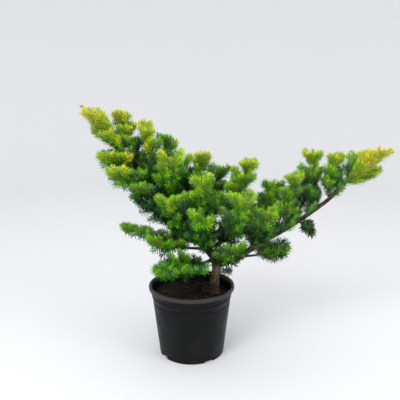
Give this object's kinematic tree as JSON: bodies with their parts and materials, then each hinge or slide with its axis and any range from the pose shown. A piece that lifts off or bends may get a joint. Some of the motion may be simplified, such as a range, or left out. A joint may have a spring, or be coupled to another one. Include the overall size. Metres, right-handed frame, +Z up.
{
  "type": "potted golden korean fir",
  "caption": "Young golden Korean fir with two long spreading arms of upturned needle sprays, growing off centre from soil in a plain round nursery pot that stands on its flat underside.",
  "frame": {"origin": "centre of the pot's flat underside", "axes": "+Z up, +X along the longer right-hand arm, +Y away from the side that the picture shows"},
  "size_m": [0.7514, 0.3156, 0.6395],
  "materials": {
    "pot_plastic": "dull black moulded polypropylene with dusty scuffs",
    "soil": "damp potting soil with bark and straw",
    "bark": "rough grey-brown bark",
    "gold_needles": "satin, gold-tipped lime green",
    "lime_needles": "satin lime green",
    "deep_needles": "satin deep green"
  },
  "bodies": {
    "root": {"bough_back_centre": "bark", "bough_back_low": "bark", "bough_back_right": "bark", "bough_back_right_arm": "bark", "bough_front_centre": "bark", "bough_front_centre_low": "bark", "bough_front_low": "bark", "bough_front_right_low": "bark", "bough_left_twig": "bark", "bough_low_left": "bark", "bough_right": "bark", "bough_right_front": "bark", "bough_right_front_b": "bark", "bough_right_gold": "bark", "bough_right_low": "bark", "bough_right_mid_top": "bark", "bough_right_mid_up": "bark", "bough_right_top": "bark", "bough_right_under": "bark", "bough_right_yellow": "bark", "needles_back_centre": "deep_needles", "needles_back_left": "lime_needles", "needles_back_low": "deep_needles", "needles_back_right": "deep_needles", "needles_back_right_arm": "lime_needles", "needles_back_top": "lime_needles", "needles_centre_left_top": "gold_needles", "needles_centre_top": "gold_needles", "needles_centre_top_right": "lime_needles", "needles_front_centre": "lime_needles", "needles_front_centre_left": "lime_needles", "needles_front_centre_low": "deep_needles", "needles_front_centre_top": "lime_needles", "needles_front_low": "deep_needles", "needles_front_right_low": "deep_needles", "needles_leader_left": "gold_needles", "needles_leader_right": "gold_needles", "needles_left_front": "lime_needles", "needles_left_low": "lime_needles", "needles_left_mid": "lime_needles", "needles_left_side": "lime_needles", "needles_left_top": "gold_needles", "needles_left_top_b": "gold_needles", "needles_left_twig": "deep_needles", "needles_low_left": "deep_needles", "needles_right_front": "lime_needles", "needles_right_front_b": "deep_needles", "needles_right_gold": "lime_needles", "needles_right_low": "deep_needles", "needles_right_mid_top": "lime_needles", "needles_right_mid_up": "lime_needles", "needles_right_top": "lime_needles", "needles_right_under": "deep_needles", "needles_right_yellow": "gold_needles", "needles_trunk_shoot": "deep_needles", "pot": "pot_plastic", "soil": "soil", "trunk": "bark"}
  },
  "joints": []
}
